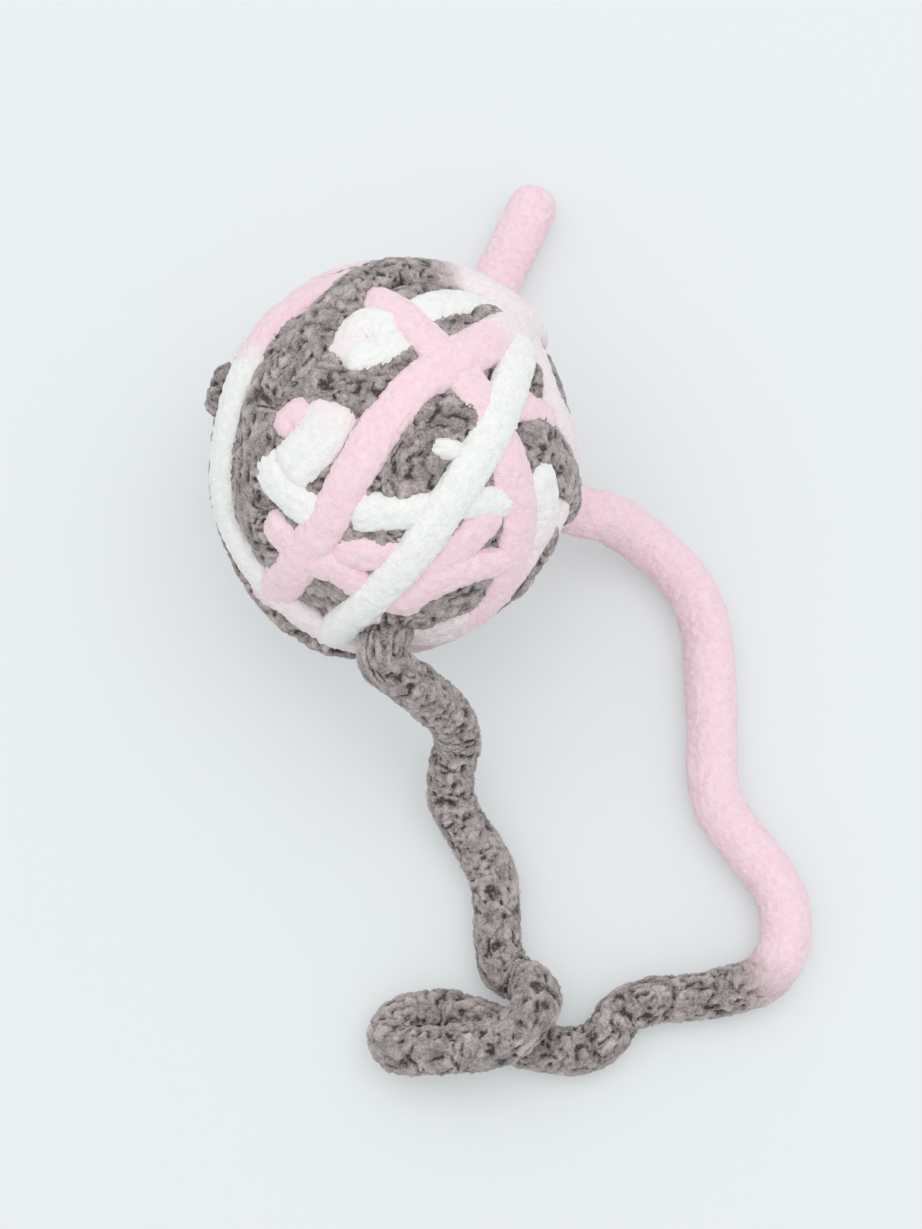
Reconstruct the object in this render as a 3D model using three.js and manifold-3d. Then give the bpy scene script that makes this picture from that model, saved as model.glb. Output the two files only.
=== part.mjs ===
// Yarn ball cat toy: a ball wound from one thick, soft chenille strand over a hollow plastic core
// that holds a jingle bell. A long loop of the strand hangs out in front of the ball and lies on
// the floor with a tangle in it, and a short loose end sticks out behind.
// Millimetres, +Z up. The origin is under the middle of the ball, on the surface that it rests on.
// The loose loop lies towards -Y, which is the side of the viewer.

import * as THREE from 'three';
import { mergeVertices } from 'three/addons/utils/BufferGeometryUtils.js';
import Module from 'manifold-3d';

const wasm = await Module();
wasm.setup();

// The wound ball
const BALL_WIDTH = 48.4;
const BALL_DEPTH = 51.6;
const BALL_HEIGHT = 50;
const FOOT_DEPTH = 0.6;

// The strand, pressed flat where it is wound
const LAYER_THICKNESS = 1.6;
const LAYER_CLEARANCE = 0.4;
const OUTER_STRAND_WIDTH = 6.2;
const MIDDLE_STRAND_WIDTH = 5.8;
const INNER_STRAND_WIDTH = 5.3;
const SHOULDER_SHARE = 0.3;

// The directions of the three windings, in degrees in the plane that faces the viewer,
// and where each turn crosses the viewer's side, in degrees from the winding's own pole
const VIEW_TILT = 78;
const OUTER_POLE = 137;
const OUTER_TURNS = [150, 130, 110, 80, 41, 18];
const MIDDLE_POLE = 28;
const MIDDLE_TURNS = [14, 33, 54, 80, 106, 133, 157];
const INNER_POLE = 100;
const INNER_TURNS = [11, 28, 45, 62, 79, 96, 113, 130, 147, 164];
const STEPS_PER_TURN = 24;
const LEAD_TURN_SHARE = 0.12;

// The bed of yarn under the windings
const BED_CLEARANCE = 0.3;
const BED_HOLE_DIAMETER = 6;

// The hollow plastic core, two halves that snap together
const CORE_DIAMETER = 26;
const CORE_WALL = 1.6;
const CORE_LIP_HEIGHT = 1.4;
const CORE_JOINT_CLEARANCE = 0.3;
const SOUND_HOLE_DIAMETER = 3;
const SOUND_HOLES = 6;
const SOUND_HOLE_ANGLE = 42;

// The jingle bell
const BELL_DIAMETER = 14;
const BELL_WALL = 0.7;
const BELL_SLOT_WIDTH = 1.4;
const BELL_SLOT_END_DIAMETER = 2.6;
const BELL_SLOT_TOP_DROP = 1.8;
const BELL_SEAM_WIDTH = 0.9;
const BELL_SEAM_DIAMETER = 14.8;
const EYE_WIRE_DIAMETER = 1.1;
const EYE_SPAN = 4.4;
const EYE_LEG_HEIGHT = 0.9;
const PELLET_DIAMETER = 4;
const SEAT_CLEARANCE = 0.3;
const WELD_DISTANCE = 0.00001;

// The loose strand
const PINK_DIAMETER = 6.8;
const BROWN_DIAMETER = 6;
const STRETCH_CLEARANCE = 0.35;
const TAIL_SIDES = 8;
const TAIL_STEP_DIAMETERS_SHARE = 2;
const TANGLE_SIDES = 6;
const TANGLE_TURNS = 2;

// The way of the loose loop: out of the ball at the right, along the floor and up to its front
const PINK_ROUTE = [
  [22.3, -3.6, 12.9], [25, -4.2, 11.5], [28, -4.4, 9.6], [31, -5.3, 6.9], [34.1, -7.1, 4.7],
  [37.3, -9.9, 3.7], [40, -13.4, 3.5], [41.7, -18.4, 3.5], [42.2, -25.1, 3.5], [42.4, -31.8, 3.5],
  [42.3, -37.8, 3.5], [43.3, -42.8, 3.5], [46, -47, 3.5], [48.7, -50.6, 3.5], [51.1, -54.4, 3.5],
  [51.7, -58.2, 3.5], [51, -62.1, 3.5],
];
const CHANGE_ROUTE = [[48.5, -65.4, 3.4]];
const LOW_ROUTE = [
  [43.5, -67.1, 3.1], [38.6, -68, 3.1], [33.9, -68.3, 3.1], [30.2, -69.8, 3.1], [27.8, -73, 3.1],
];
const TANGLE_START_ROUTE = [[24.8, -74.8, 3.1]];
const TANGLE_ROUTE = [
  [22.1, -74.8, 3.1], [19.4, -74.6, 3.1], [16.8, -73.9, 3.1], [14.3, -72.7, 3.1], [11.5, -71.3, 3.1],
  [8.4, -70.2, 3.1], [5, -70, 3.1], [1.9, -70.6, 3.1], [0.1, -71.9, 3.4], [-0.3, -73.8, 4.4],
  [1.3, -75.1, 5.9], [4.8, -75.1, 7.3], [8.4, -74.9, 7.9], [11.6, -74.7, 9], [14.3, -74, 9.8],
  [16.5, -72.4, 9.9], [18.1, -70.3, 9], [18.8, -68.3, 7.2], [18, -66.6, 5.1], [16.3, -65.5, 3.6],
  [14.7, -64.3, 3.1],
];
const TANGLE_END_ROUTE = [[13.8, -61.7, 3.1]];
const RISE_ROUTE = [
  [13.6, -58.6, 3.1], [13.4, -54.9, 3.1], [12.8, -51.3, 3.2], [11, -48, 3.5], [9.1, -45, 4.3],
  [7.5, -41.8, 5.6], [7.6, -38.5, 7.4], [8.3, -35.4, 10.2], [7.7, -33, 14.2], [5.7, -31.8, 19.6],
  [3.7, -31, 25.2], [1.2, -29.9, 29], [-1, -28.2, 31.2],
];

// The way of the short loose end: along the foot of the ball behind it, then out on the floor
const END_ROUTE = [
  [-13.4, 15.9, 3.5], [-7.8, 19.3, 3.5], [-1.5, 20.9, 3.5], [4.4, 21.3, 3.5], [9.4, 24.2, 3.5],
  [12.6, 28.6, 3.5], [15, 33.2, 3.5], [17.3, 38, 3.5], [19.9, 44, 3.5],
];

const PINK = new THREE.MeshStandardMaterial({ color: 0xf7d5e0, roughness: 0.95 });
const BROWN = new THREE.MeshStandardMaterial({ color: 0x8e7c7a, roughness: 0.95 });
const WHITE = new THREE.MeshStandardMaterial({ color: 0xeff3f0, roughness: 0.95 });
const PLASTIC = new THREE.MeshStandardMaterial({ color: 0xe8e6df, roughness: 0.5 });
const BRASS = new THREE.MeshStandardMaterial({ color: 0xc9a14a, roughness: 0.3, metalness: 1 });
const STEEL = new THREE.MeshStandardMaterial({ color: 0xb9bcc0, roughness: 0.3, metalness: 1 });

const ballRadius = (BALL_HEIGHT + FOOT_DEPTH) / 2;
const ballCentre = new THREE.Vector3(0, 0, ballRadius - FOOT_DEPTH);
const ballStretch = new THREE.Vector3(BALL_WIDTH / 2 / ballRadius, BALL_DEPTH / 2 / ballRadius, 1);
const layerPitch = LAYER_THICKNESS + LAYER_CLEARANCE;
const outerLayerRadius = ballRadius - LAYER_THICKNESS / 2;
const middleLayerRadius = outerLayerRadius - layerPitch;
const innerLayerRadius = middleLayerRadius - layerPitch;
const bedRadius = innerLayerRadius - LAYER_THICKNESS / 2 - LAYER_CLEARANCE;
const coreRadius = CORE_DIAMETER / 2;
const cavityRadius = coreRadius - CORE_WALL;
const bellRadius = BELL_DIAMETER / 2;
const chamberRadius = bellRadius - BELL_WALL;

const part = new THREE.Group();
part.name = 'yarn_ball_cat_toy';

function addPiece(parent, name, geometry, material, position = new THREE.Vector3()) {
  const mesh = new THREE.Mesh(geometry, material);
  mesh.name = name;
  mesh.position.copy(position);
  parent.add(mesh);
}

// Booleans on closed three.js geometries

function toSolid(geometry) {
  const bare = geometry.index ? geometry.toNonIndexed() : geometry.clone();
  bare.deleteAttribute('normal');
  bare.deleteAttribute('uv');
  const welded = mergeVertices(bare, WELD_DISTANCE);
  return new wasm.Manifold(new wasm.Mesh({
    numProp: 3,
    vertProperties: new Float32Array(welded.attributes.position.array),
    triVerts: new Uint32Array(welded.index.array),
  }));
}

function toGeometry(solid) {
  const mesh = solid.getMesh();
  const geometry = new THREE.BufferGeometry();
  geometry.setAttribute('position', new THREE.BufferAttribute(new Float32Array(mesh.vertProperties), 3));
  geometry.setIndex(new THREE.BufferAttribute(new Uint32Array(mesh.triVerts), 1));
  geometry.computeVertexNormals();
  return geometry;
}

function cutAway(body, ...tools) {
  return toGeometry(tools.reduce((solid, tool) => solid.subtract(toSolid(tool)), toSolid(body)));
}

// The windings

// The unit vectors of a winding whose pole lies at this angle in the viewer's plane:
// the pole, the side where a turn comes over the edge, and the way to the viewer
function windingAxes(poleAngle) {
  const tilt = THREE.MathUtils.degToRad(VIEW_TILT);
  const angle = THREE.MathUtils.degToRad(poleAngle);
  const up = new THREE.Vector3(0, Math.sin(tilt), Math.cos(tilt));
  const viewer = new THREE.Vector3(0, -Math.cos(tilt), Math.sin(tilt));
  const pole = new THREE.Vector3(Math.cos(angle), 0, 0).addScaledVector(up, Math.sin(angle));
  const edge = new THREE.Vector3().crossVectors(pole, viewer);
  return { pole, edge, viewer };
}

// How far from the pole the strand is, in radians, at a place counted in turns: a turn keeps its
// angle on the viewer's side and drifts to the next turn's angle on the far side
function angleFromPole(turns, place) {
  const last = turns.length - 1;
  const turn = THREE.MathUtils.clamp(Math.floor(place), 0, last);
  const next = Math.min(turn + 1, last);
  const drift = THREE.MathUtils.smoothstep(place - turn, 0.5, 1);
  return THREE.MathUtils.degToRad(THREE.MathUtils.lerp(turns[turn], turns[next], drift));
}

function directionAt(axes, turns, place) {
  const fromPole = angleFromPole(turns, place);
  const around = place * 2 * Math.PI;
  return new THREE.Vector3()
    .addScaledVector(axes.pole, Math.cos(fromPole))
    .addScaledVector(axes.edge, Math.sin(fromPole) * Math.cos(around))
    .addScaledVector(axes.viewer, Math.sin(fromPole) * Math.sin(around));
}

// The flattened six-sided section of a wound strand, as [across, out] pairs
function woundSection(width) {
  const shoulder = width * SHOULDER_SHARE;
  const rise = LAYER_THICKNESS / 2;
  return [[width / 2, 0], [shoulder, rise], [-shoulder, rise], [-width / 2, 0], [-shoulder, -rise],
    [shoulder, -rise]];
}

// One ring of the strand's surface, bent to the layer's sphere and stretched to the ball's shape
function woundRing(axes, turns, place, radius, section) {
  const nudge = 1 / STEPS_PER_TURN / STEPS_PER_TURN;
  const out = directionAt(axes, turns, place);
  const along = directionAt(axes, turns, place + nudge).sub(directionAt(axes, turns, place - nudge));
  const across = new THREE.Vector3().crossVectors(out, along).normalize();
  return section.map(([side, rise]) => new THREE.Vector3()
    .addScaledVector(out, Math.cos(side / radius) * (radius + rise))
    .addScaledVector(across, Math.sin(side / radius) * (radius + rise))
    .multiply(ballStretch)
    .add(ballCentre));
}

function woundRings(poleAngle, turns, radius, width) {
  const axes = windingAxes(poleAngle);
  const start = -LEAD_TURN_SHARE;
  const end = turns.length - 1 + 1 / 2 + LEAD_TURN_SHARE;
  const steps = Math.round((end - start) * STEPS_PER_TURN);
  const section = woundSection(width);
  return Array.from({ length: steps + 1 }, (_, step) => (
    woundRing(axes, turns, THREE.MathUtils.lerp(start, end, step / steps), radius, section)));
}

// A closed tube through rings of points that all have the same count
function tubeThrough(rings) {
  const sides = rings[0].length;
  const geometry = new THREE.BufferGeometry().setFromPoints(rings.flat());
  const faces = [];
  for (let ring = 0; ring + 1 < rings.length; ring += 1) {
    for (let side = 0; side < sides; side += 1) {
      const here = ring * sides + side;
      const beside = ring * sides + (side + 1) % sides;
      faces.push(here, beside, here + sides, beside, beside + sides, here + sides);
    }
  }
  const lastRing = (rings.length - 1) * sides;
  for (let side = 1; side + 1 < sides; side += 1) {
    faces.push(0, side + 1, side);
    faces.push(lastRing, lastRing + side, lastRing + side + 1);
  }
  geometry.setIndex(faces);
  geometry.computeVertexNormals();
  return geometry;
}

// The least distance between the surface points of rings that lie half a turn or more apart
function leastSelfGap(rings) {
  const points = rings.flatMap((ring, place) => ring.map((point) => ({ point, place })));
  let least = Infinity;
  points.forEach((one, index) => {
    for (let other = index + 1; other < points.length; other += 1) {
      if (points[other].place - one.place >= STEPS_PER_TURN / 2) {
        least = Math.min(least, one.point.distanceTo(points[other].point));
      }
    }
  });
  return least;
}

function reportGap(name, rings) {
  console.log(`${name}: least gap to itself ${leastSelfGap(rings).toFixed(2)} mm`);
}

function addWinding(name, poleAngle, turns, radius, width, material, finish = (geometry) => geometry) {
  const rings = woundRings(poleAngle, turns, radius, width);
  reportGap(name, rings);
  addPiece(part, name, finish(tubeThrough(rings)), material);
}

// The ball rests on the lowest turn of the outer winding, which is pressed flat there
function pressFoot(geometry) {
  const floor = new THREE.BoxGeometry(BALL_WIDTH, BALL_DEPTH, ballRadius);
  floor.translate(0, 0, -ballRadius / 2);
  return cutAway(geometry, floor);
}

function addWindings() {
  addWinding('winding_inner', INNER_POLE, INNER_TURNS, innerLayerRadius, INNER_STRAND_WIDTH, BROWN);
  addWinding('winding_middle', MIDDLE_POLE, MIDDLE_TURNS, middleLayerRadius, MIDDLE_STRAND_WIDTH, WHITE);
  addWinding('winding_outer', OUTER_POLE, OUTER_TURNS, outerLayerRadius, OUTER_STRAND_WIDTH, PINK,
    pressFoot);
}

// The yarn under the three windings: a thick shell round the core, open at its two poles
function addBed() {
  const outside = new THREE.SphereGeometry(bedRadius, 28, 18);
  outside.scale(ballStretch.x, ballStretch.y, ballStretch.z);
  const inside = new THREE.SphereGeometry(coreRadius + BED_CLEARANCE, 20, 12);
  const hole = new THREE.CylinderGeometry(BED_HOLE_DIAMETER / 2, BED_HOLE_DIAMETER / 2, BALL_HEIGHT, 12);
  hole.rotateX(Math.PI / 2);
  addPiece(part, 'yarn_bed', cutAway(outside, inside, hole), BROWN, ballCentre);
}

// The plastic core

function arcPoints(radius, from, to, count) {
  return Array.from({ length: count + 1 }, (_, step) => {
    const angle = THREE.MathUtils.degToRad(THREE.MathUtils.lerp(from, to, step / count));
    return new THREE.Vector2(radius * Math.cos(angle), radius * Math.sin(angle));
  });
}

function lathe(points) {
  const geometry = new THREE.LatheGeometry(points, 24);
  geometry.rotateX(Math.PI / 2);
  return geometry;
}

function soundHoles(side) {
  return Array.from({ length: SOUND_HOLES }, (_, index) => {
    const hole = new THREE.CylinderGeometry(SOUND_HOLE_DIAMETER / 2, SOUND_HOLE_DIAMETER / 2, CORE_DIAMETER, 10);
    hole.translate(0, coreRadius, 0);
    hole.rotateZ(-Math.PI / 2);
    hole.rotateY(-side * THREE.MathUtils.degToRad(SOUND_HOLE_ANGLE));
    hole.rotateZ((index * 2 * Math.PI) / SOUND_HOLES);
    return hole;
  });
}

// The lower half carries a thin lip inside its rim, and the upper half is stepped to take it
function addCore() {
  const lipThickness = (CORE_WALL - CORE_JOINT_CLEARANCE) / 2;
  const lipRadius = cavityRadius + lipThickness;
  const stepRadius = lipRadius + CORE_JOINT_CLEARANCE;
  const lipAngle = THREE.MathUtils.radToDeg(Math.asin(CORE_LIP_HEIGHT / cavityRadius));
  const stepHeight = CORE_LIP_HEIGHT + CORE_JOINT_CLEARANCE;
  const stepAngle = THREE.MathUtils.radToDeg(Math.asin(stepHeight / cavityRadius));
  const rimAngle = THREE.MathUtils.radToDeg(Math.asin(CORE_JOINT_CLEARANCE / coreRadius));
  const lower = [
    ...arcPoints(coreRadius, -90, 0, 8),
    new THREE.Vector2(lipRadius, 0),
    new THREE.Vector2(lipRadius, CORE_LIP_HEIGHT),
    ...arcPoints(cavityRadius, lipAngle, -90, 8),
  ];
  const upper = [
    ...arcPoints(cavityRadius, 90, stepAngle, 8),
    new THREE.Vector2(stepRadius, stepHeight),
    new THREE.Vector2(stepRadius, CORE_JOINT_CLEARANCE),
    ...arcPoints(coreRadius, rimAngle, 90, 8),
  ];
  addPiece(part, 'core_shell_lower', cutAway(lathe(lower), ...soundHoles(-1)), PLASTIC, ballCentre);
  addPiece(part, 'core_shell_upper', cutAway(lathe(upper), ...soundHoles(1)), PLASTIC, ballCentre);
}

// The jingle bell: a round shell with a crossed slot below, a wire eye above and a loose pellet

function bellSlots() {
  const height = bellRadius - BELL_SLOT_TOP_DROP;
  return [0, Math.PI / 2].flatMap((turn) => {
    const slot = new THREE.BoxGeometry(BELL_DIAMETER * 2, BELL_SLOT_WIDTH, height);
    slot.translate(0, 0, -BELL_SLOT_TOP_DROP - height / 2 - BELL_SLOT_END_DIAMETER / 2);
    const end = new THREE.CylinderGeometry(
      BELL_SLOT_END_DIAMETER / 2, BELL_SLOT_END_DIAMETER / 2, BELL_DIAMETER * 2, 12);
    end.rotateZ(Math.PI / 2);
    end.translate(0, 0, -BELL_SLOT_TOP_DROP - BELL_SLOT_END_DIAMETER / 2);
    return [slot.rotateZ(turn), end.rotateZ(turn)];
  });
}

function bellShell() {
  const seamRadius = BELL_SEAM_DIAMETER / 2;
  const seam = lathe([
    new THREE.Vector2(chamberRadius + BELL_WALL / 2, -BELL_SEAM_WIDTH / 2),
    new THREE.Vector2(seamRadius, -BELL_SEAM_WIDTH / 2),
    new THREE.Vector2(seamRadius, BELL_SEAM_WIDTH / 2),
    new THREE.Vector2(chamberRadius + BELL_WALL / 2, BELL_SEAM_WIDTH / 2),
    new THREE.Vector2(chamberRadius + BELL_WALL / 2, -BELL_SEAM_WIDTH / 2),
  ]);
  const ball = toSolid(new THREE.SphereGeometry(bellRadius, 24, 14)).add(toSolid(seam));
  return cutAway(toGeometry(ball), new THREE.SphereGeometry(chamberRadius, 20, 12), ...bellSlots());
}

function eyeWire(footHeight) {
  const path = new THREE.CurvePath();
  const reach = EYE_SPAN / 2;
  const bend = footHeight + EYE_LEG_HEIGHT;
  const arch = Array.from({ length: 9 }, (_, step) => {
    const angle = Math.PI * (1 - step / 8);
    return new THREE.Vector3(reach * Math.cos(angle), 0, bend + reach * Math.sin(angle));
  });
  path.add(new THREE.LineCurve3(new THREE.Vector3(-reach, 0, footHeight), arch[0]));
  arch.slice(1).forEach((point, step) => path.add(new THREE.LineCurve3(arch[step], point)));
  path.add(new THREE.LineCurve3(arch[8], new THREE.Vector3(reach, 0, footHeight)));
  return tubeAlong(path, EYE_WIRE_DIAMETER, 8, 16);
}

function addBell() {
  const bellCentre = new THREE.Vector3(0, 0, ballCentre.z - cavityRadius + SEAT_CLEARANCE + bellRadius);
  const footReach = EYE_SPAN / 2 - EYE_WIRE_DIAMETER / 2;
  const footHeight = Math.sqrt(bellRadius ** 2 - footReach ** 2) + SEAT_CLEARANCE;
  const pelletCentre = bellCentre.clone();
  pelletCentre.z += PELLET_DIAMETER / 2 + SEAT_CLEARANCE - chamberRadius;
  addPiece(part, 'bell_shell', bellShell(), BRASS, bellCentre);
  addPiece(part, 'bell_eye', eyeWire(footHeight), BRASS, bellCentre);
  addPiece(part, 'bell_pellet', new THREE.SphereGeometry(PELLET_DIAMETER / 2, 12, 8), STEEL, pelletCentre);

  const eyeTop = bellCentre.z + footHeight + EYE_LEG_HEIGHT + (EYE_SPAN + EYE_WIRE_DIAMETER) / 2;
  const bellTravel = ballCentre.z + cavityRadius - SEAT_CLEARANCE - eyeTop;
  const pelletTravel = (chamberRadius - SEAT_CLEARANCE) * 2 - PELLET_DIAMETER;
  console.log(`bell travel ${bellTravel.toFixed(2)} mm, pellet travel ${pelletTravel.toFixed(2)} mm`);
}

// The loose strand

function tubeAlong(curve, diameter, sides, steps) {
  const rim = Array.from({ length: sides }, (_, side) => {
    const angle = (side * 2 * Math.PI) / sides;
    return new THREE.Vector2(Math.cos(angle) * diameter / 2, Math.sin(angle) * diameter / 2);
  });
  return new THREE.ExtrudeGeometry(new THREE.Shape(rim), { steps, extrudePath: curve, bevelEnabled: false });
}

// A stretch of a longer curve, given by the lengths at which it starts and ends
class Stretch extends THREE.Curve {
  constructor(whole, from, to) {
    super();
    this.whole = whole;
    this.from = from;
    this.to = to;
  }

  getPoint(share, target = new THREE.Vector3()) {
    const length = THREE.MathUtils.lerp(this.from, this.to, share);
    return this.whole.getPointAt(length / this.whole.getLength(), target);
  }
}

function routeCurve(...routes) {
  const points = routes.flat().map((point) => new THREE.Vector3(...point));
  return new THREE.CatmullRomCurve3(points, false, 'centripetal');
}

// The length along the curve at each of its own points
function lengthsAtPoints(curve) {
  const perPoint = 20;
  const lengths = curve.getLengths((curve.points.length - 1) * perPoint);
  return curve.points.map((_, index) => lengths[index * perPoint]);
}

function addTail(name, stretch, diameter, material) {
  const steps = Math.ceil((stretch.to - stretch.from) / (diameter * TAIL_STEP_DIAMETERS_SHARE));
  addPiece(part, name, tubeAlong(stretch, diameter, TAIL_SIDES, steps), material);
}

// The tangle is one unbroken tube: a loop that crosses over itself, then a fold
function addTangle(stretch) {
  const steps = STEPS_PER_TURN * TANGLE_TURNS;
  const frames = stretch.computeFrenetFrames(steps);
  const radius = BROWN_DIAMETER / 2;
  const rings = stretch.getSpacedPoints(steps).map((centre, step) => (
    Array.from({ length: TANGLE_SIDES }, (_, side) => {
      const angle = (side * 2 * Math.PI) / TANGLE_SIDES;
      return centre.clone()
        .addScaledVector(frames.normals[step], radius * Math.cos(angle))
        .addScaledVector(frames.binormals[step], radius * Math.sin(angle));
    })));
  reportGap('tail_tangle', rings);
  addPiece(part, 'tail_tangle', tubeThrough(rings), BROWN);
}

function addLooseLoop() {
  const loop = routeCurve(PINK_ROUTE, CHANGE_ROUTE, LOW_ROUTE, TANGLE_START_ROUTE, TANGLE_ROUTE,
    TANGLE_END_ROUTE, RISE_ROUTE);
  const lengths = lengthsAtPoints(loop);
  const half = STRETCH_CLEARANCE / 2;
  const change = lengths[PINK_ROUTE.length];
  const tangleStart = lengths[PINK_ROUTE.length + LOW_ROUTE.length + 1];
  const tangleEnd = lengths[PINK_ROUTE.length + LOW_ROUTE.length + TANGLE_ROUTE.length + 2];
  addTail('tail_pink', new Stretch(loop, 0, change - half), PINK_DIAMETER, PINK);
  addTail('tail_brown_low', new Stretch(loop, change + half, tangleStart - half), BROWN_DIAMETER, BROWN);
  addTangle(new Stretch(loop, tangleStart + half, tangleEnd - half));
  addTail('tail_brown_rise', new Stretch(loop, tangleEnd + half, loop.getLength()), BROWN_DIAMETER, BROWN);
  console.log(`loose loop ${loop.getLength().toFixed(1)} mm long`);
}

function addLooseEnd() {
  const end = routeCurve(END_ROUTE);
  addTail('loose_end', new Stretch(end, 0, end.getLength()), PINK_DIAMETER, PINK);
  console.log(`loose end ${end.getLength().toFixed(1)} mm long`);
}

addCore();
addBell();
addBed();
addWindings();
addLooseLoop();
addLooseEnd();

export default part;
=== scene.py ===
"""The looks of a yarn ball cat toy: one thick chenille strand, wound round a hollow core."""
import math

import bmesh
import bpy
import numpy as np
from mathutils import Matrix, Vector


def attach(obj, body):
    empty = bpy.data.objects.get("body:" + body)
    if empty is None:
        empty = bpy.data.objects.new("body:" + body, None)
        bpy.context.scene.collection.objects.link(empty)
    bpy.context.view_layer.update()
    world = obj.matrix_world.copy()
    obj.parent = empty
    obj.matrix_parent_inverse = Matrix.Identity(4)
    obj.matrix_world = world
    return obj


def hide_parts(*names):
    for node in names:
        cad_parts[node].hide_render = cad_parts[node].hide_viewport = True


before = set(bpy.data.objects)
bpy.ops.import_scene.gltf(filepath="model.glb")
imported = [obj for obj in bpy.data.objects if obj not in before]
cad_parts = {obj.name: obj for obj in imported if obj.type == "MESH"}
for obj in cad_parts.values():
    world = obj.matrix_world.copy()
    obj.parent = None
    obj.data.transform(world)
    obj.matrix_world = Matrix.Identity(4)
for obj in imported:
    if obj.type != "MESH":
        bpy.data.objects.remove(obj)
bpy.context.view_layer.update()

MM = 0.001

# The view: from above, a little towards the loop.
CAMERA_PLACE = (0.008786, -0.103322, 0.411975)
CAMERA_LEAN = math.radians(12)
CAMERA_LENS = 90.69
CAMERA_SENSOR = 36
CAMERA_NEAREST = 0.01

# The ball: its middle, its stretch along each axis, and the radius at which turns are measured.
BALL_CENTRE = np.array([0, 0, 0.0247])
BALL_STRETCH = np.array([0.9565, 1.0198, 1])
BALL_RADIUS = 0.0253

# The free yarn: its diameters, how far before and after the middle of the change its pink fades to
# brown, and the spacing of the places that its path is handed on with.
PINK_DIAMETER = 0.0068
BROWN_DIAMETER = 0.0063
LOOP_FADE = 0.005
PATH_STEP = 0.002

# All yarn stays this high above the floor.
RESTING_HEIGHT = 0.00003

# The turns on the ball: their thickness, how deep their ends dive under other turns and over what
# length at most, and how far before and after a change their dye fades.
TURN_THICKNESS = 0.0034
END_DIVE = 0.0034
LONGEST_DIVE = 0.006
DYE_FADE = 0.003

# How far a turn wanders up and down in mm, and in width as a share of it, how many wanderings there
# are to the ball's radius, and the shift that tells those of the width from the others.
RISE_WANDER = 0.06
WIDTH_WANDER_SHARE = 0.06
WANDERS_TO_RADIUS = 3.1
WIDTH_SHIFT = 50

# Near the floor a turn with a lower crown stays a little higher, by this share of what its crown is
# short of the highest one in mm, so that turns with different crowns don't meet in one plane.
RESTING_SHARE = 0.02
HIGHEST_CROWN = 27

# The steps of a turn that runs on, in degrees, how steeply one goes behind the outline, and the
# share of the ball's outline that still counts as its front.
RUN_ON_STEP = 3
PAST_OUTLINE = 2.5
FRONT_SHARE = 0.999

# The turns of the far side, in degrees: how far each one goes on over its own start, how much of
# it dives at each end, and how far on the next one starts.
FAR_OVERLAP = 30
FAR_DIVE = 14
FAR_STAGGER = 137

# The rings of brown yarn under the turns: how many, the place in view that they lie round, their
# crown's radius and width in mm, and the steps of one.
BED_TURNS = 12
BED_POLE = (0.62, -0.42)
BED_CROWN = 24.5
BED_WIDTH = 6.8
BED_STEPS = 400

# The brown ball under the rings, in mm: its radius at the top of its curls, the radius that their
# pattern is laid at, the depths of its curls and its lumps, and the size of a lump.
BED_RADIUS = 22.9
BED_PATTERN_RADIUS = 23
BED_CURL_DEPTH = 0.5
BED_LUMP_DEPTH = 0.2
BED_LUMP_SIZE = 3

# The forms of the strand, free and on the ball: the fullness of its cross-section, where 2 is an
# ellipse, the radius it is bent over, the share of its columns that lie on the upper side, and the
# depths of its brown tufts and of its lumps in mm.
FREE_FORM = {
    "fullness": 2, "bent_over": None, "crown_share": 0.5, "tuft_depth": 0.8, "lump_depth": 0.14,
}
TURN_FORM = {
    "fullness": 2.3, "bent_over": 0.0245, "crown_share": 0.75, "tuft_depth": 0.6, "lump_depth": 0.07,
}

# The meshes: the length of a row, the columns round the strand, and how fine the far side is.
LOOP_MESH = (0.00022, 84)
END_MESH = (0.00026, 72)
BROWN_TURN_MESH = (0.00028, 44)
PALE_TURN_MESH = (0.00032, 40)
FAR_FINENESS = 0.7
CURVE_STEPS = 40
FEWEST_CAP_ROWS = 6
WELD_DISTANCE = 1e-8

# The numbers that tell the noise of one strand from the noise of another.
LOOP_SEED = 101
END_SEED = 202
TURN_SEED = 300
FAR_SEED = 400
RING_SEED = 500
BED_SEED = 7
BED_LUMP_SEED = 8

# Brown pile: its curls' size in mm, along, across and out of the strand, how far apart in them the
# creases end, the size in mm of the bends in the pile and their shifts, and how far they bend the
# curls, as shares of one, and the threads, in mm.
CURL = np.array([2.0, 1.8, 1.8])
CREASE_END = 0.4
BEND_SIZE = 1.1
BEND_SHIFTS = (11, 37, 71)
CURL_BEND_SHARE = 0.45
THREAD_BEND = 0.55

# The patterns on the pile: the size of each in mm, along, across and out of the strand where it
# has three, and the shift and the seed that tell it from the others. The threads of brown pile lie
# across the strand in some places and along it in others.
PATTERNS = {
    "threads across": (np.array([0.5, 1.4, 1.4]), 5, 3),
    "threads along": (np.array([1.4, 0.5, 0.5]), 7, 4),
    "lie": (2.6, 3, 6),
    "hairs": (0.45, 2, 12),
    "tone": (1.7, 4, 8),
    "velvet": (0.5, 0, 5),
    "lumps": (2.6, 0, 9),
    "fuzz": (0.21, 0, 13),
}

# Where the noise of the lie turns the threads, and where the noise of the threads opens holes.
LIE_TURNS = (-0.15, 0.15)
HOLE_OPENS = (0.15, 0.75)

# The height of brown pile, from 0 to 1: its level, the share of the hairs among the threads, the
# rise of the threads, the depths of the holes and the creases, and the height that lies at the
# surface of the strand. Low pile is also painted darker, as shade in its creases and holes.
PILE_LEVEL = 0.83
HAIR_SHARE = 0.35
THREAD_RISE = 0.24
HOLE_DEPTH = 0.35
CREASE_DEPTH = 0.28
SURFACE_HEIGHT = 0.75
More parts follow.
